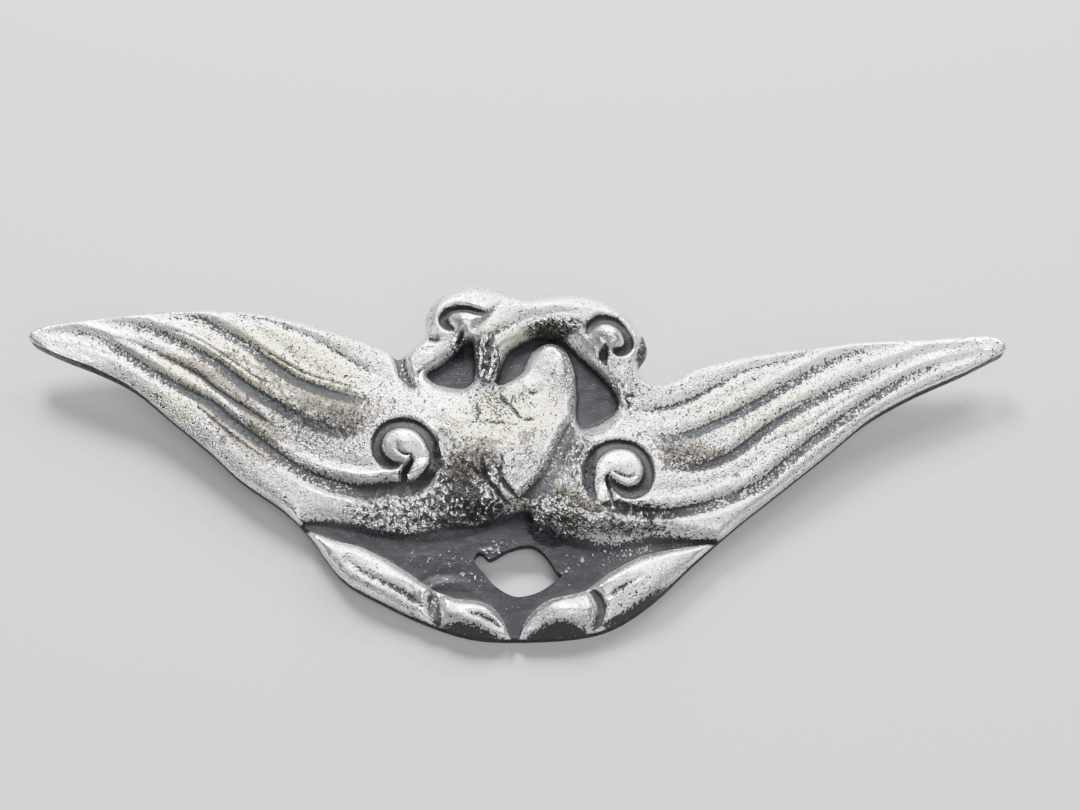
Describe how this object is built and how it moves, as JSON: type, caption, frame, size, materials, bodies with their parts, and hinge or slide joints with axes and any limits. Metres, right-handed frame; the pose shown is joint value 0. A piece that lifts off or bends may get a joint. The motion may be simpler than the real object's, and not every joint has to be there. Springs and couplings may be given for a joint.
{
  "type": "swan brooch",
  "caption": "Cast metal brooch of two swans with crossed necks, spread feathered wings, coiled heads and volutes, and a pin on the back.",
  "frame": {"origin": "centre of the bounding box's base, where the brooch rests on the surface it lies on", "axes": "+X from the left wing tip to the right wing tip, +Y up the brooch towards the heads, +Z out of the surface it lies on; the brooch's own plane leans up by 8 degrees at the heads"},
  "size_m": [0.0994, 0.037, 0.0089],
  "materials": {
    "cast_metal": "antiqued cast pewter: worn bright on the crests, dull grey and matte in the grooves",
    "pin_metal": "plain drawn wire and stamped bar"
  },
  "bodies": {
    "root": {"casting": "cast_metal", "brooch_pin": "pin_metal"}
  },
  "joints": []
}
